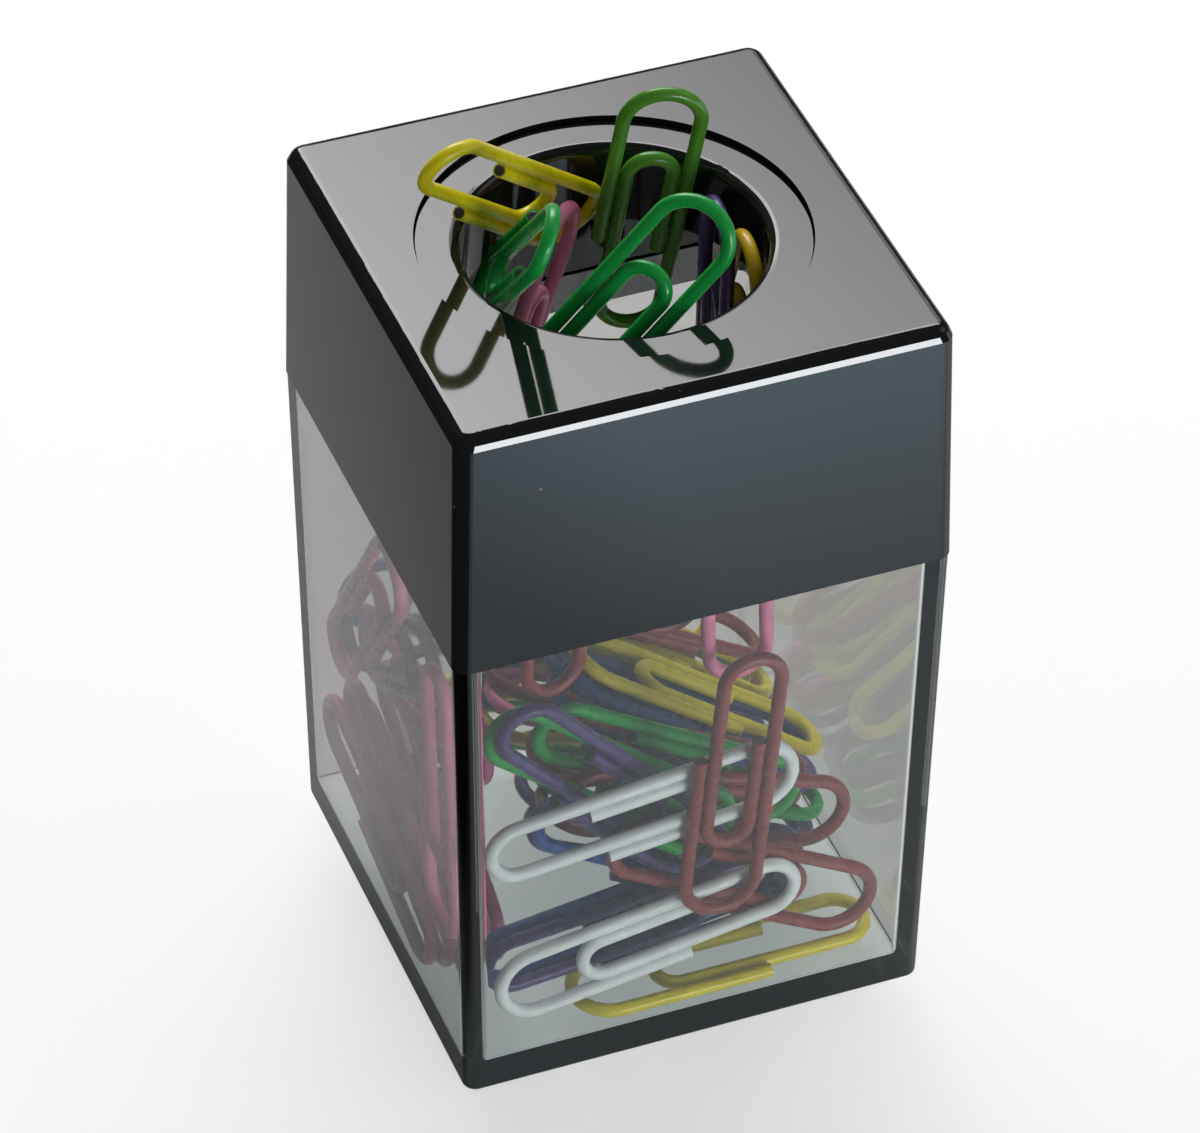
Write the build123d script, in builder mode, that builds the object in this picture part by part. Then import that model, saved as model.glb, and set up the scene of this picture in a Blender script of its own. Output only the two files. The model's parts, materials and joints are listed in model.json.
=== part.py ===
"""Magnetic paper clip holder: clear square tumbler, black lid with a ring magnet round its mouth, and clips."""
import os
from math import cos, radians, sin

from build123d import *

# Tumbler, in millimetres
base_width = 41.4
shoulder_width = 42.8
shoulder_height = 47.4
tumbler_wall = 1.8
floor_thickness = 2.4
tumbler_corner = 1.2
inner_corner = 0.6
base_edge = 0.5
floor_corner = 0.4
tongue_height = 4.0
tongue_thickness = 0.85

# Lid
skirt_overhang = 0.1
lid_draft = 0.5
lid_height = 23.2
lid_wall = 1.7
top_plate = 1.8
lid_corner = 1.3
lid_inside_corner = 0.6
bevel_height = 1.2
bevel_inset = 0.44
lid_top_edge = 1.1
tongue_clearance = 0.1
tongue_end_gap = 0.3

# Mouth ring, ring magnet and the cup in the lid that holds them
mouth_radius = 12.5
ring_tube_wall = 1.0
mouth_lip = 0.8
flange_width = 2.5
flange_thickness = 1.0
recess_depth = 0.5
flange_clearance = 0.15
tube_clearance = 0.1
magnet_clearance = 0.2
magnet_height = 4.8
magnet_edge = 0.3
cup_wall = 1.2
ledge_thickness = 1.2
snap_bead = 0.3
snap_height = 0.4
snap_play = 0.05

# Paper clips
wire = 1.2
clip_length = 28.0
clip_width = 7.6
wire_gap = 0.1
inner_setback = 7.4
outer_leg = 17.4
inner_leg = 18.5

# How close clips lie to the walls, to each other and to what holds them
wall_gap = 0.15
layer_gap = 0.1
magnet_gap = 0.3
corner_layers = 2
slant_layers = 5
front_layers = 8
back_layers = 2
low_tilt = 20
low_end_gap = 2.0
low_rest = 0.8
low_layers = 5
high_tilt = 16
high_rest = 0.3
high_inset = 4.1

# Sizes that follow from the ones above
skirt_width = shoulder_width + 2 * skirt_overhang
lid_top_width = skirt_width - 2 * lid_draft
lid_top = shoulder_height + lid_height
inner_shoulder = shoulder_width - 2 * tumbler_wall
floor_share = floor_thickness / shoulder_height
inner_floor = base_width + (shoulder_width - base_width) * floor_share - 2 * tumbler_wall
tongue_width = inner_shoulder + 2 * tongue_thickness
rebate_width = tongue_width + 2 * tongue_clearance
rebate_height = tongue_height + tongue_end_gap
tube_outer = mouth_radius + ring_tube_wall
flange_radius = tube_outer + flange_width
recess_radius = flange_radius + flange_clearance
ledge_bore = tube_outer + tube_clearance
flange_top = lid_top - recess_depth
magnet_top = flange_top - flange_thickness
magnet_bottom = magnet_top - magnet_height
ledge_bottom = magnet_bottom - ledge_thickness
tube_bottom = ledge_bottom - snap_height
layer_step = wire + layer_gap
room = min(inner_floor, inner_shoulder) / 2 - wall_gap
first_layer = room - wire / 2
half_clip = clip_length / 2


def square_block(low_width, high_width, low, high, corner):
    """Square block with rounded corners that widens evenly from one height to the other."""
    with BuildPart() as block:
        with BuildSketch(Plane.XY.offset(low)):
            RectangleRounded(low_width, low_width, corner)
        with BuildSketch(Plane.XY.offset(high)):
            RectangleRounded(high_width, high_width, corner)
        loft(ruled=True)
    return block.part


# Clear tumbler: drafted walls, a flat floor and a thin tongue round the rim for the lid
with BuildPart() as tumbler:
    add(square_block(base_width, shoulder_width, 0, shoulder_height, tumbler_corner))
    fillet(tumbler.faces().sort_by(Axis.Z)[0].edges(), base_edge)
    with BuildSketch(Plane.XY.offset(shoulder_height)):
        RectangleRounded(tongue_width, tongue_width, inner_corner + tongue_thickness)
    extrude(amount=tongue_height)
    add(
        square_block(inner_floor, inner_shoulder, floor_thickness, shoulder_height, inner_corner),
        mode=Mode.SUBTRACT,
    )
    with BuildSketch(Plane.XY.offset(shoulder_height)):
        RectangleRounded(inner_shoulder, inner_shoulder, inner_corner)
    extrude(amount=tongue_height, mode=Mode.SUBTRACT)
    inside_floor = tumbler.faces().filter_by(Axis.Z).group_by(Axis.Z)[1][0]
    fillet(inside_floor.edges(), floor_corner)
tumbler.part.label = "tumbler"

# Black lid: drafted skirt, rebated inside at its lower edge, bevelled and rounded round its top,
# with the magnet cup under it
bevel_foot = lid_top - bevel_height
inside_draft = (skirt_width - lid_top_width) / lid_height
inside_top_width = skirt_width - 2 * lid_wall - inside_draft * (lid_height - top_plate)
with BuildPart() as lid:
    add(square_block(skirt_width, lid_top_width, shoulder_height, bevel_foot, lid_corner))
    add(square_block(lid_top_width, lid_top_width - 2 * bevel_inset, bevel_foot, lid_top, lid_corner))
    fillet(lid.faces().sort_by(Axis.Z)[-1].edges(), lid_top_edge)
    add(
        square_block(
            skirt_width - 2 * lid_wall,
            inside_top_width,
            shoulder_height,
            lid_top - top_plate,
            lid_inside_corner,
        ),
        mode=Mode.SUBTRACT,
    )
    with BuildSketch(Plane.XY.offset(shoulder_height)):
        RectangleRounded(rebate_width, rebate_width, inner_corner + tongue_thickness + tongue_clearance)
    extrude(amount=rebate_height, mode=Mode.SUBTRACT)
    with BuildSketch(Plane.XY.offset(ledge_bottom)):
        Circle(recess_radius + cup_wall)
    extrude(until=Until.NEXT)
    with BuildSketch(Plane.XY.offset(magnet_bottom)):
        Circle(recess_radius)
    extrude(amount=lid_top - magnet_bottom, mode=Mode.SUBTRACT)
    with BuildSketch(Plane.XY.offset(ledge_bottom)):
        Circle(ledge_bore)
    extrude(amount=ledge_thickness, mode=Mode.SUBTRACT)
lid.part.label = "lid"

# Mouth ring: flange that closes the cup, rounded lip, and a tube that snaps under the ledge
bead_top = ledge_bottom - snap_play
with BuildPart() as mouth_ring:
    with BuildSketch(Plane.XZ):
        with BuildLine():
            wall_line = Line((mouth_radius, tube_bottom), (mouth_radius, flange_top - mouth_lip))
            lip = RadiusArc(wall_line @ 1, (mouth_radius + mouth_lip, flange_top), mouth_lip)
            Polyline(
                lip @ 1,
                (flange_radius, flange_top),
                (flange_radius, magnet_top),
                (tube_outer, magnet_top),
                (tube_outer, bead_top),
                (tube_outer + snap_bead, bead_top),
                (tube_outer, tube_bottom),
                wall_line @ 0,
            )
        make_face()
    revolve(axis=Axis.Z)
mouth_ring.part.label = "mouth_ring"

# Ring magnet that lies on the ledge, under the flange
with BuildPart() as ring_magnet:
    with BuildSketch(Plane.XY.offset(magnet_bottom)):
        Circle(recess_radius - magnet_clearance)
        Circle(tube_outer + magnet_clearance, mode=Mode.SUBTRACT)
    extrude(amount=magnet_height)
    chamfer(ring_magnet.edges(), magnet_edge)
ring_magnet.part.label = "ring_magnet"


def wire_clip(place):
    """Wire bent into three loops in a plane: x runs from its large loop, y towards its unbroken side."""
    large_radius = (clip_width - wire) / 2
    far_radius = large_radius - (wire + wire_gap) / 2
    inner_radius = far_radius - (wire + wire_gap) / 2
    inner_side = large_radius - 2 * far_radius
    inner_end_side = inner_side + 2 * inner_radius
    large_centre = -half_clip + wire / 2 + large_radius
    far_centre = half_clip - wire / 2 - far_radius
    inner_centre = -half_clip + inner_setback + wire / 2 + inner_radius
    with BuildPart() as clip:
        with BuildLine(place) as bend:
            Line((outer_leg - half_clip, -large_radius), (large_centre, -large_radius))
            ThreePointArc(
                (large_centre, -large_radius),
                (large_centre - large_radius, 0),
                (large_centre, large_radius),
            )
            Line((large_centre, large_radius), (far_centre, large_radius))
            ThreePointArc(
                (far_centre, large_radius),
                (far_centre + far_radius, large_radius - far_radius),
                (far_centre, inner_side),
            )
            Line((far_centre, inner_side), (inner_centre, inner_side))
            ThreePointArc(
                (inner_centre, inner_side),
                (inner_centre - inner_radius, inner_side + inner_radius),
                (inner_centre, inner_end_side),
            )
            Line((inner_centre, inner_end_side), (inner_leg - half_clip, inner_end_side))
        path = bend.wire()
        with BuildSketch(Plane(origin=path @ 0, z_dir=path % 0)):
            Circle(wire / 2)
        sweep(path=path)
    return clip.part


def reach(turn):
    """Half of a clip's length and height in its sheaf when it is turned by this angle."""
    straight = (clip_length - clip_width) / 2
    along = straight * abs(cos(radians(turn))) + clip_width / 2
    across = straight * abs(sin(radians(turn))) + clip_width / 2
    return along, across


def between(low, high, half_size, share):
    """Place of a clip between two limits: its share runs from -1 at the lower one to 1 at the upper one."""
    return (low + high) / 2 + share * ((high - low) / 2 - half_size)


def against_wall(sheaf, layer, slide, rise, turn, flipped=False, clear=0):
    """Clip in a sheaf against a wall: slide between the side walls, less the layers kept clear at one end."""
    along, up = reach(turn)
    spot = between(clear * layer_step - room, room, along, slide)
    return sheaf * Pos(spot, rise + up, layer * layer_step) * Rot(0, 0, turn) * Rot(180 if flipped else 0, 0, 0)


def in_sheaf(sheaf, layer, share, turn, clear):
    """Clip in a sloping sheaf, at a share of the space between the front and back sheaves."""
    across = reach(turn)[1]
    spot = between(clear * layer_step - room, room - back_layers * layer_step, across, share)
    return sheaf * Pos(0, spot, layer * layer_step) * Rot(0, 0, turn)


def leaning(round_mouth, inset, rise, yaw, pitch, roll):
    """Clip whose middle is at an angle round the mouth, an inset from its wall and a rise over the lid."""
    radius = mouth_radius - inset
    middle = (
        radius * cos(radians(round_mouth)),
        radius * sin(radians(round_mouth)),
        lid_top + rise,
    )
    return Plane.XY * Pos(middle) * Rot(0, 0, yaw) * Rot(0, -pitch, 0) * Rot(roll, 0, 0)


def hanging(round_mouth, radius, top, yaw, lean):
    """Clip that hangs from its large loop at a height, at an angle round the mouth and a radius."""
    middle = (
        radius * cos(radians(round_mouth)),
        radius * sin(radians(round_mouth)),
        top - half_clip,
    )
    return Plane.XY * Pos(middle) * Rot(0, 0, yaw) * Rot(90, 0, 0) * Rot(0, 0, lean - 90)


# Planes of the sheaves: each normal points the way the layers build up
front_sheaf = Plane(origin=(0, -first_layer, floor_thickness), x_dir=(-1, 0, 0), z_dir=(0, 1, 0))
left_sheaf = Plane(origin=(-first_layer, 0, floor_thickness), x_dir=(0, 1, 0), z_dir=(1, 0, 0))
back_sheaf = Plane(origin=(0, first_layer, floor_thickness), x_dir=(1, 0, 0), z_dir=(0, -1, 0))
floor_layer = Plane.XY.offset(floor_thickness + wall_gap + wire / 2)
low_middle = (
    room - half_clip * cos(radians(low_tilt)) - low_end_gap,
    0,
    floor_thickness + wire / 2 + half_clip * sin(radians(low_tilt)) + low_rest,
)
low_sheaf = Plane.XY * Pos(low_middle) * Rot(0, low_tilt, 0)
high_hinge = Pos(half_clip - high_inset, 0, low_layers * layer_step + high_rest)
high_sheaf = low_sheaf * high_hinge * Rot(0, high_tilt, 0) * Pos(-half_clip, 0, 0)

# Clips that stand in the mouth: angle round it, inset from its wall, rise over the lid, yaw, pitch and roll
mouth_clips = {
    "clip_yellow_mouth": leaning(140.2, 3.4, 1.7, -145.9, 40.8, 60.4),
    "clip_leaf_green_mouth": leaning(55, 2.7, -4.7, 113, -78, -144),
    "clip_green_mouth_right": leaning(247, 4.2, -2.7, 164.5, -52.4, 116),
    "clip_green_mouth_left": leaning(190.5, 3.05, 0.7, -90.5, 48.1, -120.5),
    "clip_pink_in_mouth": leaning(151.9, 4.45, -13.7, -149.8, -58.9, -107.1),
}

# Clips that hang by the magnet, in the mouth or under the ledge: angle, radius, top, yaw, lean
ledge_middle = (ledge_bore + recess_radius + cup_wall) / 2
ledge_seat = ledge_bottom - magnet_gap
hanging_clips = {
    "clip_purple_in_mouth": hanging(13.5, mouth_radius - 2.4, lid_top - 0.85, 84, 2.3),
    "clip_amber_in_mouth": hanging(11, mouth_radius - 0.95, lid_top - 1.2, 83.7, 22.9),
    "clip_red_in_mouth": hanging(268, mouth_radius - 1.4, lid_top - 4.6, 358, 0),
    "clip_pink_under_lid": hanging(285, ledge_middle, ledge_seat, 0, 2),
    "clip_red_under_lid": hanging(229, ledge_middle, ledge_seat, 12, -2),
}

# Sheaves against the walls: layer, slide, rise, turn and facing
front_clips = {
    "clip_red_leaning": against_wall(front_sheaf, 0, -0.25, 9.6, 95),
    "clip_white_upper": against_wall(front_sheaf, 1, 0.81, 16.6, -6.5),
    "clip_white_lower": against_wall(front_sheaf, 1, 0.66, 1.9, 171, flipped=True),
    "clip_red_right_low": against_wall(front_sheaf, 2, -0.91, 1.5, 30),
    "clip_purple_low": against_wall(front_sheaf, 3, 0.70, 1.5, -6),
    "clip_purple_slanting": against_wall(front_sheaf, 3, 0.73, 11.2, 48),
    "clip_blue_low": against_wall(front_sheaf, 4, 0.72, 1.4, -8),
    "clip_green_slanting": against_wall(front_sheaf, 4, 0.77, 12.0, 40),
    "clip_red_right_high": against_wall(front_sheaf, 5, -0.70, 8.3, 20),
    "clip_blue_front": against_wall(front_sheaf, 6, -0.1, 1.0, 32),
    "clip_green_front": against_wall(front_sheaf, 6, -0.1, 11.0, 32),
    "clip_purple_front": against_wall(front_sheaf, 7, -0.2, 1.5, 27),
    "clip_red_front": against_wall(front_sheaf, 7, -0.2, 10.6, 27),
}
left_clips = {
    "clip_pink_corner": against_wall(left_sheaf, 0, -0.99, 9.1, 86, clear=corner_layers),
    "clip_mauve_left_1": against_wall(left_sheaf, 0, 0.43, 0.5, 12, clear=slant_layers),
    "clip_mauve_left_2": against_wall(left_sheaf, 1, -0.30, 0.7, 20, clear=slant_layers),
    "clip_mauve_left_3": against_wall(left_sheaf, 2, -0.44, 1.0, 10, clear=slant_layers),
    "clip_mauve_left_4": against_wall(left_sheaf, 3, -0.50, 1.1, 25, clear=slant_layers),
    "clip_pink_left": against_wall(left_sheaf, 0, 0.455, 16.8, -56, clear=slant_layers),
    "clip_purple_left": against_wall(left_sheaf, 1, 0.23, 16.6, -34, clear=slant_layers),
    "clip_mauve_high": against_wall(left_sheaf, 2, -0.81, 15.3, -20, clear=slant_layers),
}
back_clips = {
    "clip_yellow_back": against_wall(back_sheaf, 0, 0.61, 1.0, 10),
    "clip_blue_back": against_wall(back_sheaf, 0, -0.6, 12.2, -12),
    "clip_red_back": against_wall(back_sheaf, 1, 0.1, 1.8, -14),
    "clip_green_back": against_wall(back_sheaf, 1, 0.41, 14.9, 8),
}

# Sheaves that slope in the middle, from the floor to the left: layer, share of the space and turn
low_clips = {
    "clip_blue_middle_1": in_sheaf(low_sheaf, 0, -0.95, 5, front_layers),
    "clip_green_middle_1": in_sheaf(low_sheaf, 0, 0.80, -8, front_layers),
    "clip_purple_middle_1": in_sheaf(low_sheaf, 1, -0.90, -10, front_layers),
    "clip_yellow_middle": in_sheaf(low_sheaf, 1, 0.85, 4, front_layers),
    "clip_red_middle_1": in_sheaf(low_sheaf, 2, -0.95, 10, front_layers),
    "clip_blue_middle_2": in_sheaf(low_sheaf, 2, 0.90, -10, front_layers),
    "clip_green_middle_2": in_sheaf(low_sheaf, 3, -0.90, -7, front_layers),
    "clip_pink_middle": in_sheaf(low_sheaf, 3, 0.85, 6, front_layers),
    "clip_purple_middle_2": in_sheaf(low_sheaf, 4, -0.95, 7, front_layers),
    "clip_red_middle_2": in_sheaf(low_sheaf, 4, 0.80, -6, front_layers),
}
high_clips = {
    "clip_blue_top_1": in_sheaf(high_sheaf, 0, -0.95, 5, front_layers),
    "clip_blue_top_2": in_sheaf(high_sheaf, 1, -0.90, -6, front_layers),
    "clip_blue_top_3": in_sheaf(high_sheaf, 2, -0.95, 3, front_layers),
    "clip_yellow_top_1": in_sheaf(high_sheaf, 1, 0.45, 4, front_layers),
    "clip_yellow_top_2": in_sheaf(high_sheaf, 2, 0.35, -7, front_layers),
    "clip_green_top": in_sheaf(high_sheaf, 0, 0.80, -5, front_layers),
    "clip_yellow_top_3": in_sheaf(high_sheaf, 3, -0.95, -4, front_layers),
    "clip_red_top": in_sheaf(high_sheaf, 3, 0.50, 8, front_layers),
}
floor_clip = {
    "clip_yellow_floor": floor_layer * Pos(0.9 * (room - half_clip), 0.97 * (clip_width / 2 - room), 0),
}
heap_clips = {**front_clips, **left_clips, **back_clips, **low_clips, **high_clips, **floor_clip}

os.makedirs("parts", exist_ok=True)
for piece in (tumbler.part, lid.part, mouth_ring.part, ring_magnet.part):
    export_step(piece, f"parts/{piece.label}.step")
for name, place in {**mouth_clips, **hanging_clips, **heap_clips}.items():
    clip_part = wire_clip(place)
    clip_part.label = name
    export_step(clip_part, f"parts/{name}.step")
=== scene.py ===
"""Magnetic paper clip holder: finishes, bare wire ends, a plain studio and the photograph's camera."""
import json
from math import cos, pi, radians, sin

import bpy
from mathutils import Matrix, Vector


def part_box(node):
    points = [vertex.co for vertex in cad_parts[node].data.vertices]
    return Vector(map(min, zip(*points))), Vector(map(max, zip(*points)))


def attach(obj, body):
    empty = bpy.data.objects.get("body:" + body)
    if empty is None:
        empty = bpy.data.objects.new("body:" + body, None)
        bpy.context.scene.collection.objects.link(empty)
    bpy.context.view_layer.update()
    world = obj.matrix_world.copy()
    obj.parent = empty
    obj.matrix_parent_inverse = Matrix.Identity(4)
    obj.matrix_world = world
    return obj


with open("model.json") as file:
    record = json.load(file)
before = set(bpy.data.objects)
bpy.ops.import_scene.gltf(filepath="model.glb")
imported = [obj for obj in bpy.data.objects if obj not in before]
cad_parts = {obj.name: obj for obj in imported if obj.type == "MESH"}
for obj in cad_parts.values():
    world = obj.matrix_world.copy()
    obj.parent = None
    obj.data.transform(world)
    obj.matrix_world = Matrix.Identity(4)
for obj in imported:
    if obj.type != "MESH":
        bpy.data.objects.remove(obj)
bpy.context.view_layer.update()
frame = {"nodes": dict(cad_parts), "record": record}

# Lengths are in metres, angles in degrees and texture scales in features per metre

# Camera, as the photograph's perspective gives it, with its lens and sensor in millimetres
CAMERA_PLACE = (-0.1478, -0.3777, 0.3765)
CAMERA_AZIMUTH = -21.24
CAMERA_ELEVATION = 40.04
CAMERA_ROLL = 0.44
CAMERA_LENS = 189.6
CAMERA_SENSOR = 36.0
CAMERA_CLIP_START = 0.01

# Floor of pale paper
FLOOR_SIZE = 6.0
FLOOR_DROP = 0.0002
FLOOR_COLOUR = (0.56, 0.56, 0.56)
FLOOR_GRAIN_SCALE = 40.0
FLOOR_GRAIN_SHADE = 0.99
FLOOR_ROUGHNESS = 0.9

# Glow of the floor as the camera sees it, and through clear walls, where it changes at the tumbler's foot
# from painted light under the tumbler to a faint glow beside it
GLOW_SEEN = 0.55
GLOW_UNDER_TUMBLER = 0.42
GLOW_BESIDE_TUMBLER = 0.06
GLOW_EDGE = (0.0195, 0.0215)
GLOW_COLOUR = (1.0, 1.0, 1.0)

# Painted pool of cool light on the floor in front, which only gloss shows, with the stretches where it
# fades in
POOL_COLOUR = (0.66, 0.94, 1.14)
POOL_GLOW = 1.6
POOL_FRONT = (-0.055, -0.110)
POOL_ACROSS = (-0.018, 0.026)

# Fainter painted light on the floor close to the tumbler's front, which only gloss shows too
CLOSE_COLOUR = (0.83, 0.97, 1.03)
CLOSE_GLOW = 0.45
CLOSE_FRONT = (-0.019, -0.0215)
CLOSE_ACROSS = (-0.032, -0.022)

# Painted shade: the floor darkened on its left side, beyond a slanting line, which only gloss shows
PAINTED_SHADE_COLOUR = (0.02, 0.02, 0.018)
PAINTED_SHADE_SLANT = 0.25
PAINTED_SHADE_ACROSS = (-0.020, -0.056)

# World: soft light from all round, darker in gloss, and white where the camera sees it
WORLD_COLOUR = (0.95, 0.97, 1.0)
WORLD_STRENGTH = 0.22
WORLD_IN_GLOSS = 0.06
WORLD_SEEN = 1.0

# Lamps, with the point that each is aimed at
LAMPS = {
    "back_softbox": {
        "place": (0.24, 0.62, 0.60),
        "target": (0, 0, 0.06),
        "width": 0.70,
        "height": 0.55,
        "radiance": 1.0,
        "colour": (1.0, 0.985, 0.99),
        "graded": True,
    },
    "front_lamp": {
        "place": (0.208, -0.742, 0.052),
        "target": (0, -0.02, 0.06),
        "width": 0.26,
        "height": 0.10,
        "radiance": 20.0,
        "colour": (0.95, 0.98, 1.0),
    },
    "right_softbox": {
        "place": (0.75, -0.25, 0.55),
        "target": (0, 0, 0.04),
        "width": 0.50,
        "height": 0.50,
        "radiance": 0.7,
        "colour": (1.0, 1.0, 1.0),
    },
}

# Grading of a softbox: factor at its middle, rise along each side, where the middle lies, and limits
GRADE_MIDDLE = 5.0
GRADE_RISE = (16.0, 17.0)
GRADE_MIDDLE_PLACE = (0.50, 0.46)
GRADE_LIMITS = (1.5, 8.0)

# Coats of the clips, by the record's slots
COATS = {
    "yellow_coat": (0.78, 0.68, 0.006),
    "amber_coat": (0.66, 0.44, 0.012),
    "leaf_green_coat": (0.085, 0.30, 0.022),
    "green_coat": (0.008, 0.38, 0.058),
    "white_coat": (0.84, 0.90, 0.92),
    "red_coat": (0.26, 0.042, 0.042),
    "pink_coat": (0.88, 0.24, 0.44),
    "mauve_coat": (0.42, 0.10, 0.22),
    "purple_coat": (0.080, 0.048, 0.19),
    "blue_coat": (0.022, 0.085, 0.34),
}

# Range that holds most values of a noise texture, and the full range of a mask
NOISE_SPAN = (0.3, 0.7)
FULL = (0.0, 1.0)

# Vinyl of the coats
VINYL_IOR = 1.46
VINYL_COAT_WEIGHT = 0.12
VINYL_COAT_ROUGHNESS = 0.12
VINYL_CLOUD_SCALE = 260.0
VINYL_SHADES = (0.93, 1.04)
VINYL_GLOSS_SCALE = 900.0
VINYL_ROUGHNESS = (0.22, 0.36)
VINYL_PEEL_SCALE = 2600.0
VINYL_PEEL_DEPTH = 0.00002
VINYL_PEEL_STRENGTH = 0.5

# Polished black plastic, with smudges, fine rub marks in two directions, dust and a faint waviness
BLACK_IOR = 1.5
BLACK_COLOUR = (0.010, 0.011, 0.012)
BLACK_SMUDGE_SCALE = 55.0
BLACK_SMUDGE_SPAN = (0.35, 0.75)
BLACK_SMUDGE_ROUGHNESS = (0.035, 0.085)
BLACK_RUB_SCALE = (60.0, 5200.0, 5200.0)
BLACK_RUB_TURN = (0, 0, 31)
BLACK_CROSS_RUB_SCALE = (5200.0, 70.0, 5200.0)
BLACK_CROSS_RUB_TURN = (0, 0, -18)
BLACK_RUB_SPAN = (0.70, 0.80)
BLACK_RUB_ROUGHNESS = (0.0, 0.10)
BLACK_WAVE_SCALE = 70.0
BLACK_WAVE_DEPTH = 0.00004
BLACK_WAVE_STRENGTH = 0.25
DUST_SCALE = 150.0
DUST_SIZE = 0.03
DUST_COLOUR = (0.34, 0.34, 0.33)
DUST_ROUGHNESS = (0.0, 0.5)

# Clear, slightly smoky plastic, with haze, nearly upright rub marks and a faint waviness
CLEAR_IOR = 1.52
CLEAR_COLOUR = (0.91, 0.90, 0.87)
CLEAR_LAMP_COLOUR = (0.90, 0.91, 0.90)
CLEAR_SMOKE_COLOUR = (0.29, 0.32, 0.33)
CLEAR_SMOKE_DENSITY = 52.0
CLEAR_HAZE_SCALE = 80.0
CLEAR_HAZE_SPAN = (0.4, 0.8)
CLEAR_HAZE_ROUGHNESS = (0.0, 0.05)
CLEAR_RUB_SCALE = (5200.0, 5200.0, 90.0)
CLEAR_RUB_TURN = (12, 0, 0)
CLEAR_RUB_SPAN = (0.72, 0.80)
CLEAR_RUB_ROUGHNESS = (0.0, 0.05)
CLEAR_WAVE_SCALE = 45.0
CLEAR_WAVE_DEPTH = 0.00005
CLEAR_WAVE_STRENGTH = 0.3

# Sintered ferrite of the magnet
FERRITE_COLOURS = ((0.045, 0.045, 0.050), (0.085, 0.083, 0.080))
FERRITE_ROUGHNESS = (0.55, 0.8)
FERRITE_GRAIN_SCALE = 1800.0
FERRITE_GRAIN_DEPTH = 0.00004
FERRITE_GRAIN_STRENGTH = 0.6

# Sheared steel at the wires' ends
STEEL_COLOURS = ((0.12, 0.115, 0.11), (0.26, 0.25, 0.24))
STEEL_ROUGHNESS = (0.28, 0.5)
STEEL_SHEAR_SCALE = (1500.0, 9000.0, 9000.0)
STEEL_SHEAR_DEPTH = 0.00003
STEEL_SHEAR_STRENGTH = 0.6

# Button of bare core on each cut end, as shares of the wire's radius, with its top as a share of the core's
CORE_SHARE = 0.78
CORE_SINK = 0.12
CORE_SHOULDER = 0.05
CORE_PROUD = 0.10
CORE_TOP_SHARE = 0.86
CORE_SIDES = 20

# How closely a flat face of a clip has to match the wire's round section, and how planes are told apart
CAP_TOLERANCE = 0.2
NORMAL_DIGITS = 2
OFFSET_DIGITS = 1


class Finish:
    """A node material around one Principled shader, with the few node kinds that the finishes use."""

    def __init__(self, name, **constants):
        self.material = bpy.data.materials.new(name)
        self.material.use_nodes = True
        self.tree = self.material.node_tree
        self.shader = self.tree.nodes["Principled BSDF"]
        self.output = self.tree.nodes["Material Output"]
        self.place = self.node("ShaderNodeTexCoord").outputs["Object"]
        for socket, value in constants.items():
            self.shader.inputs[socket.replace("_", " ")].default_value = value

    def node(self, kind, **settings):
        made = self.tree.nodes.new(kind)
        for name, value in settings.items():
            setattr(made, name, value)
        return made

    def link(self, source, target):
        self.tree.links.new(source, target)

    def feed(self, source, socket):
        self.link(source, self.shader.inputs[socket])

    def noise(self, scale, detail=2.0, place=None):
        made = self.node("ShaderNodeTexNoise")
        made.inputs["Scale"].default_value = scale
        made.inputs["Detail"].default_value = detail
        self.link(place or self.place, made.inputs["Vector"])
        return made.outputs["Fac"]

    def streaks(self, scale, turn=(0, 0, 0)):
        """Noise with its own scale along each axis, drawn out where the scale is low."""
        mapping = self.node("ShaderNodeMapping")
        mapping.inputs["Scale"].default_value = scale
        mapping.inputs["Rotation"].default_value = [radians(angle) for angle in turn]
        self.link(self.place, mapping.inputs["Vector"])
        return self.noise(1.0, place=mapping.outputs["Vector"])

    def specks(self, scale, size):
        """Mask of small dots, where the surface passes close to the point of a cell of this scale."""
        cells = self.node("ShaderNodeTexVoronoi")
        cells.inputs["Scale"].default_value = scale
        self.link(self.place, cells.inputs["Vector"])
        return self.fit(cells.outputs["Distance"], (size, 0.0), FULL)

    def fit(self, value, source, target):
        """Value moved from one range to another, and held within it."""
        made = self.node("ShaderNodeMapRange")
        made.inputs["From Min"].default_value = source[0]
        made.inputs["From Max"].default_value = source[1]
        made.inputs["To Min"].default_value = target[0]
        made.inputs["To Max"].default_value = target[1]
        self.link(value, made.inputs["Value"])
        return made.outputs["Result"]

    def combine(self, operation, first, second):
        made = self.node("ShaderNodeMath", operation=operation)
        for socket, value in zip(made.inputs, (first, second)):
            if isinstance(value, (int, float)):
                socket.default_value = value
            else:
                self.link(value, socket)
        return made.outputs[0]

    def blend(self, share, first, second):
        """Colour between two colours, each written out or another node's."""
        made = self.node("ShaderNodeMix", data_type="RGBA")
        self.link(share, made.inputs["Factor"])
        for name, value in (("A", first), ("B", second)):
            socket = next(s for s in made.inputs if s.name == name and s.type == "RGBA")
            if isinstance(value, tuple):
                socket.default_value = (*value, 1.0)
            else:
                self.link(value, socket)
        return next(s for s in made.outputs if s.type == "RGBA")

    def bump(self, height, depth, strength):
        made = self.node("ShaderNodeBump")
        made.inputs["Distance"].default_value = depth
        made.inputs["Strength"].default_value = strength
        self.link(height, made.inputs["Height"])
        self.feed(made.outputs["Normal"], "Normal")


def shade(colour, factor):
    return tuple(min(1.0, channel * factor) for channel in colour)


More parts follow.
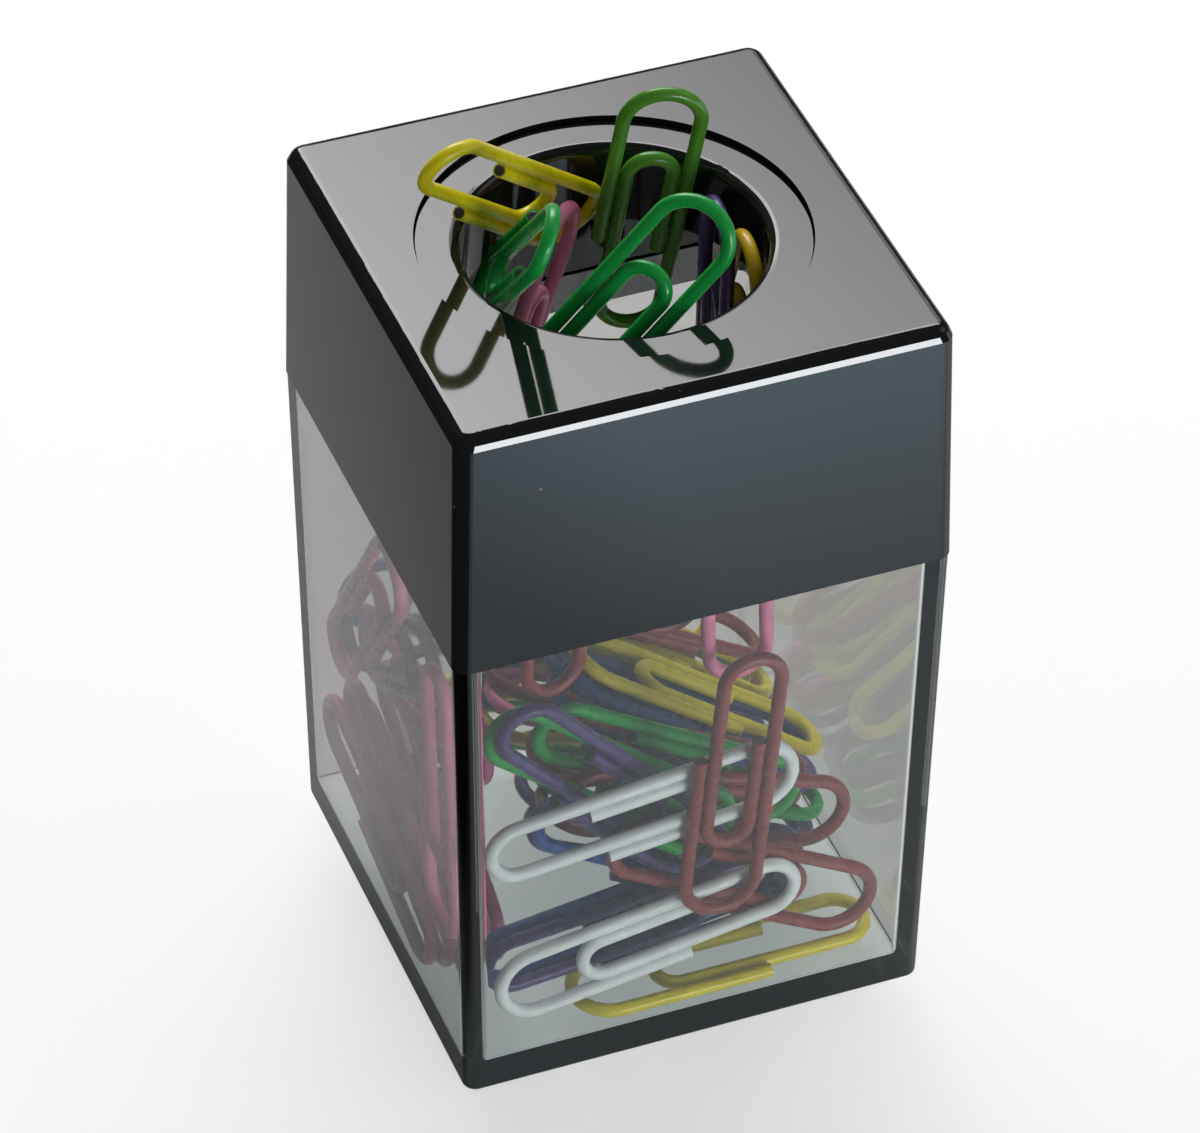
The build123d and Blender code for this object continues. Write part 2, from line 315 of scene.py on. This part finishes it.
def vinyl_coat(name, colour):
    """Glossy vinyl on wire: slightly uneven colour and gloss, with a faint orange peel."""
    finish = Finish(name, IOR=VINYL_IOR, Coat_Weight=VINYL_COAT_WEIGHT, Coat_Roughness=VINYL_COAT_ROUGHNESS)
    cloud = finish.fit(finish.noise(VINYL_CLOUD_SCALE, detail=3.0), NOISE_SPAN, FULL)
    darker, lighter = (shade(colour, factor) for factor in VINYL_SHADES)
    finish.feed(finish.blend(cloud, darker, lighter), "Base Color")
    finish.feed(finish.fit(finish.noise(VINYL_GLOSS_SCALE), NOISE_SPAN, VINYL_ROUGHNESS), "Roughness")
    finish.bump(finish.noise(VINYL_PEEL_SCALE), VINYL_PEEL_DEPTH, VINYL_PEEL_STRENGTH)
    return finish.material


def black_plastic(name):
    """Polished black moulding: faint smudges, fine rub marks and a few specks of dust."""
    finish = Finish(name, IOR=BLACK_IOR)
    smudge = finish.noise(BLACK_SMUDGE_SCALE, detail=4.0)
    smudge = finish.fit(smudge, BLACK_SMUDGE_SPAN, BLACK_SMUDGE_ROUGHNESS)
    rubs = finish.streaks(BLACK_RUB_SCALE, BLACK_RUB_TURN)
    cross_rubs = finish.streaks(BLACK_CROSS_RUB_SCALE, BLACK_CROSS_RUB_TURN)
    marks = finish.combine("MAXIMUM", rubs, cross_rubs)
    marks = finish.fit(marks, BLACK_RUB_SPAN, BLACK_RUB_ROUGHNESS)
    dust = finish.specks(DUST_SCALE, DUST_SIZE)
    roughness = finish.combine("ADD", smudge, marks)
    roughness = finish.combine("ADD", roughness, finish.fit(dust, FULL, DUST_ROUGHNESS))
    finish.feed(roughness, "Roughness")
    finish.feed(finish.blend(dust, BLACK_COLOUR, DUST_COLOUR), "Base Color")
    finish.bump(finish.noise(BLACK_WAVE_SCALE, detail=1.0), BLACK_WAVE_DEPTH, BLACK_WAVE_STRENGTH)
    return finish.material


def clear_plastic(name):
    """Clear, slightly smoky moulding that darkens where it is looked along, and lets lamp light through."""
    finish = Finish(name, IOR=CLEAR_IOR, Transmission_Weight=1.0)
    finish.shader.inputs["Base Color"].default_value = (*CLEAR_COLOUR, 1.0)
    haze = finish.noise(CLEAR_HAZE_SCALE, detail=4.0)
    haze = finish.fit(haze, CLEAR_HAZE_SPAN, CLEAR_HAZE_ROUGHNESS)
    rubs = finish.streaks(CLEAR_RUB_SCALE, CLEAR_RUB_TURN)
    rubs = finish.fit(rubs, CLEAR_RUB_SPAN, CLEAR_RUB_ROUGHNESS)
    finish.feed(finish.combine("ADD", haze, rubs), "Roughness")
    finish.bump(finish.noise(CLEAR_WAVE_SCALE, detail=1.0), CLEAR_WAVE_DEPTH, CLEAR_WAVE_STRENGTH)
    lamp_light = finish.node("ShaderNodeBsdfTransparent")
    lamp_light.inputs["Color"].default_value = (*CLEAR_LAMP_COLOUR, 1.0)
    ray = finish.node("ShaderNodeLightPath")
    either = finish.node("ShaderNodeMixShader")
    finish.link(ray.outputs["Is Shadow Ray"], either.inputs["Fac"])
    finish.link(finish.shader.outputs["BSDF"], either.inputs[1])
    finish.link(lamp_light.outputs["BSDF"], either.inputs[2])
    finish.link(either.outputs["Shader"], finish.output.inputs["Surface"])
    smoke = finish.node("ShaderNodeVolumeAbsorption")
    smoke.inputs["Color"].default_value = (*CLEAR_SMOKE_COLOUR, 1.0)
    smoke.inputs["Density"].default_value = CLEAR_SMOKE_DENSITY
    finish.link(smoke.outputs["Volume"], finish.output.inputs["Volume"])
    return finish.material


def sintered_ferrite(name):
    """Dark matt sintered ring."""
    finish = Finish(name)
    grain = finish.noise(FERRITE_GRAIN_SCALE, detail=4.0)
    finish.feed(finish.blend(grain, *FERRITE_COLOURS), "Base Color")
    finish.feed(finish.fit(grain, NOISE_SPAN, FERRITE_ROUGHNESS), "Roughness")
    finish.bump(grain, FERRITE_GRAIN_DEPTH, FERRITE_GRAIN_STRENGTH)
    return finish.material


def cut_steel(name):
    """Sheared end of the wire's steel core."""
    finish = Finish(name, Metallic=1.0)
    shear = finish.streaks(STEEL_SHEAR_SCALE)
    finish.feed(finish.blend(shear, *STEEL_COLOURS), "Base Color")
    finish.feed(finish.fit(shear, NOISE_SPAN, STEEL_ROUGHNESS), "Roughness")
    finish.bump(shear, STEEL_SHEAR_DEPTH, STEEL_SHEAR_STRENGTH)
    return finish.material


# Each CAD piece gets the finish of its slot
finishes = {slot: vinyl_coat(slot, colour) for slot, colour in COATS.items()}
finishes["black_plastic"] = black_plastic("black_plastic")
finishes["clear_plastic"] = clear_plastic("clear_plastic")
finishes["ferrite"] = sintered_ferrite("ferrite")
for row in frame["record"]["subparts"]:
    node = frame["nodes"][row["node"]]
    node.data.materials.clear()
    node.data.materials.append(finishes[row["material_slot"]])


def cut_ends(clip, radius):
    """Middle and outward normal of the two flat round faces that end a clip's wire."""
    mesh = clip.data
    planes = {}
    for face in mesh.polygons:
        offset = face.normal.dot(face.center) / radius
        key = (*(round(n, NORMAL_DIGITS) for n in face.normal), round(offset, OFFSET_DIGITS))
        planes.setdefault(key, []).append(face)
    ends = []
    for faces in planes.values():
        area = sum(face.area for face in faces)
        if abs(area / (pi * radius ** 2) - 1) > CAP_TOLERANCE:
            continue
        corners = {corner for face in faces for corner in face.vertices}
        middle = sum((mesh.vertices[c].co for c in corners), Vector()) / len(corners)
        if max((mesh.vertices[c].co - middle).length for c in corners) < radius * (1 + CAP_TOLERANCE):
            ends.append((middle, faces[0].normal.copy()))
    return ends


def core_mesh(name, ends, radius):
    """Low round buttons of bare core on these wire ends, as one mesh."""
    core = radius * CORE_SHARE
    rings = ((core, -CORE_SINK), (core, CORE_SHOULDER), (core * CORE_TOP_SHARE, CORE_PROUD))
    points = []
    faces = []
    for middle, normal in ends:
        across = normal.orthogonal().normalized()
        along = normal.cross(across)
        first = len(points)
        for ring_radius, height in rings:
            for step in range(CORE_SIDES):
                angle = 2 * pi * step / CORE_SIDES
                spoke = across * cos(angle) + along * sin(angle)
                points.append(middle + spoke * ring_radius + normal * height * radius)
        for ring in range(len(rings) - 1):
            for step in range(CORE_SIDES):
                a = first + ring * CORE_SIDES + step
                b = first + ring * CORE_SIDES + (step + 1) % CORE_SIDES
                faces.append((a, b, b + CORE_SIDES, a + CORE_SIDES))
        top = first + (len(rings) - 1) * CORE_SIDES
        faces.append(tuple(range(top, top + CORE_SIDES)))
        faces.append(tuple(reversed(range(first, first + CORE_SIDES))))
    mesh = bpy.data.meshes.new(name)
    mesh.from_pydata(points, [], faces)
    return mesh


# Steel cores at the cut ends, one piece for each body, with the wire's radius from a clip that lies flat
floor_low, floor_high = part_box("clip_yellow_floor")
wire_radius = (floor_high[2] - floor_low[2]) / 2
steel = cut_steel("cut_steel")
for body, nodes in frame["record"]["behaviour"]["bodies"].items():
    ends = []
    for name in nodes:
        if name.startswith("clip_"):
            ends += cut_ends(frame["nodes"][name], wire_radius)
    cores = bpy.data.objects.new(f"wire_ends_{body}", core_mesh(f"wire_ends_{body}", ends, wire_radius))
    bpy.context.collection.objects.link(cores)
    cores.data.materials.append(steel)
    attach(cores, body)


def floor_paper():
    """Pale paper that takes shadows, and glows by the kind of ray that looks at it, with painted light
    under and in front of the tumbler, and painted shade on the left that only gloss shows.
    """
    finish = Finish("floor_paper", Roughness=FLOOR_ROUGHNESS)
    ray = finish.node("ShaderNodeLightPath")
    camera_ray = ray.outputs["Is Camera Ray"]
    glossy_ray = ray.outputs["Is Glossy Ray"]
    clear_ray = ray.outputs["Is Transmission Ray"]
    spot = finish.node("ShaderNodeSeparateXYZ")
    finish.link(finish.place, spot.inputs["Vector"])
    x = spot.outputs["X"]
    y = spot.outputs["Y"]

    grain = finish.noise(FLOOR_GRAIN_SCALE, detail=3.0)
    paper = finish.blend(grain, shade(FLOOR_COLOUR, FLOOR_GRAIN_SHADE), FLOOR_COLOUR)
    # Painted shade: the paper's colour darkens beyond a slanting line on the left, for gloss only
    slant = finish.combine("ADD", x, finish.combine("MULTIPLY", y, PAINTED_SHADE_SLANT))
    painted_shade = finish.combine("MULTIPLY", finish.fit(slant, PAINTED_SHADE_ACROSS, FULL), glossy_ray)
    finish.feed(finish.blend(painted_shade, paper, PAINTED_SHADE_COLOUR), "Base Color")

    # Painted light: a pool of cool glow on the floor in front, for gloss only
    pool = finish.fit(y, POOL_FRONT, (0.0, POOL_GLOW))
    pool = finish.combine("MULTIPLY", pool, finish.fit(x, POOL_ACROSS, FULL))
    # Fainter painted light close to the tumbler's front, for gloss only
    close = finish.fit(y, CLOSE_FRONT, (0.0, CLOSE_GLOW))
    close = finish.combine("MULTIPLY", close, finish.fit(x, CLOSE_ACROSS, FULL))
    in_gloss = finish.combine("MULTIPLY", glossy_ray, finish.combine("MAXIMUM", pool, close))
    tint = finish.blend(finish.fit(y, POOL_FRONT, FULL), CLOSE_COLOUR, POOL_COLOUR)

    seen = finish.combine("MULTIPLY", camera_ray, GLOW_SEEN)
    # Painted light under the tumbler, fading to a faint glow beside it, as the clear walls show the floor
    away = finish.combine("MAXIMUM", *(finish.combine("ABSOLUTE", side, 0.0) for side in (x, y)))
    through = finish.fit(away, GLOW_EDGE, (GLOW_UNDER_TUMBLER, GLOW_BESIDE_TUMBLER))
    through = finish.combine("MULTIPLY", clear_ray, through)

    finish.feed(finish.blend(glossy_ray, GLOW_COLOUR, tint), "Emission Color")
    glow = finish.combine("MAXIMUM", finish.combine("MAXIMUM", seen, through), in_gloss)
    finish.feed(glow, "Emission Strength")
    return finish.material


def stage_floor():
    """Wide pale floor just under the object."""
    half = FLOOR_SIZE / 2
    corners = [(-half, -half, 0), (half, -half, 0), (half, half, 0), (-half, half, 0)]
    mesh = bpy.data.meshes.new("floor")
    mesh.from_pydata(corners, [], [(0, 1, 2, 3)])
    mesh.materials.append(floor_paper())
    floor = bpy.data.objects.new("floor", mesh)
    floor.location.z = -FLOOR_DROP
    bpy.context.collection.objects.link(floor)


def grade(lamp):
    """Lets the radiance of an area lamp change evenly across it, within limits."""
    lamp.use_nodes = True
    nodes = lamp.node_tree.nodes
    links = lamp.node_tree.links
    face = nodes.new("ShaderNodeSeparateXYZ")
    links.new(nodes.new("ShaderNodeNewGeometry").outputs["Parametric"], face.inputs["Vector"])
    level = None
    for axis, rise, middle in zip("XY", GRADE_RISE, GRADE_MIDDLE_PLACE):
        share = nodes.new("ShaderNodeMath")
        share.operation = "MULTIPLY_ADD"
        links.new(face.outputs[axis], share.inputs[0])
        share.inputs[1].default_value = rise
        share.inputs[2].default_value = -rise * middle
        total = nodes.new("ShaderNodeMath")
        links.new(share.outputs[0], total.inputs[0])
        if level is None:
            total.inputs[1].default_value = GRADE_MIDDLE
        else:
            links.new(level, total.inputs[1])
        level = total.outputs[0]
    limit = nodes.new("ShaderNodeClamp")
    limit.inputs["Min"].default_value = GRADE_LIMITS[0]
    limit.inputs["Max"].default_value = GRADE_LIMITS[1]
    links.new(level, limit.inputs["Value"])
    links.new(limit.outputs["Result"], nodes["Emission"].inputs["Strength"])


def softbox(name, place, target, width, height, radiance, colour, graded=False):
    """Area lamp with this radiance, aimed at a point, which doesn't show through the clear walls."""
    lamp = bpy.data.lights.new(name, "AREA")
    lamp.shape = "RECTANGLE"
    lamp.size = width
    lamp.size_y = height
    lamp.energy = radiance * pi * width * height
    lamp.color = colour
    if graded:
        grade(lamp)
    holder = bpy.data.objects.new(name, lamp)
    holder.location = place
    holder.rotation_euler = (Vector(target) - Vector(place)).to_track_quat("-Z", "Y").to_euler()
    holder.visible_transmission = False
    bpy.context.collection.objects.link(holder)


def soft_world():
    """Even soft light from all round, which the camera sees white and gloss shows darker."""
    world = bpy.data.worlds.new("soft_studio")
    world.use_nodes = True
    nodes = world.node_tree.nodes
    links = world.node_tree.links
    background = nodes["Background"]
    background.inputs["Color"].default_value = (*WORLD_COLOUR, 1.0)
    ray = nodes.new("ShaderNodeLightPath")
    strength = nodes.new("ShaderNodeMapRange")
    strength.inputs["To Min"].default_value = WORLD_STRENGTH
    strength.inputs["To Max"].default_value = WORLD_IN_GLOSS
    links.new(ray.outputs["Is Glossy Ray"], strength.inputs["Value"])
    seen = nodes.new("ShaderNodeMapRange")
    seen.inputs["To Max"].default_value = WORLD_SEEN
    links.new(ray.outputs["Is Camera Ray"], seen.inputs["Value"])
    links.new(strength.outputs["Result"], seen.inputs["To Min"])
    links.new(seen.outputs["Result"], background.inputs["Strength"])
    bpy.context.scene.world = world


def photo_camera():
    """Camera at the photograph's place and turn."""
    data = bpy.data.cameras.new("photo_camera")
    data.lens = CAMERA_LENS
    data.sensor_fit = "HORIZONTAL"
    data.sensor_width = CAMERA_SENSOR
    data.clip_start = CAMERA_CLIP_START
    camera = bpy.data.objects.new("photo_camera", data)
    turn = Matrix.Rotation(radians(CAMERA_AZIMUTH), 4, "Z")
    tilt = Matrix.Rotation(radians(90 - CAMERA_ELEVATION), 4, "X")
    roll = Matrix.Rotation(radians(CAMERA_ROLL), 4, "Z")
    camera.matrix_world = Matrix.Translation(CAMERA_PLACE) @ turn @ tilt @ roll
    bpy.context.collection.objects.link(camera)
    bpy.context.scene.camera = camera


stage_floor()
for lamp_name, lamp_settings in LAMPS.items():
    softbox(lamp_name, **lamp_settings)
soft_world()
photo_camera()
bpy.context.scene.view_settings.view_transform = "Standard"
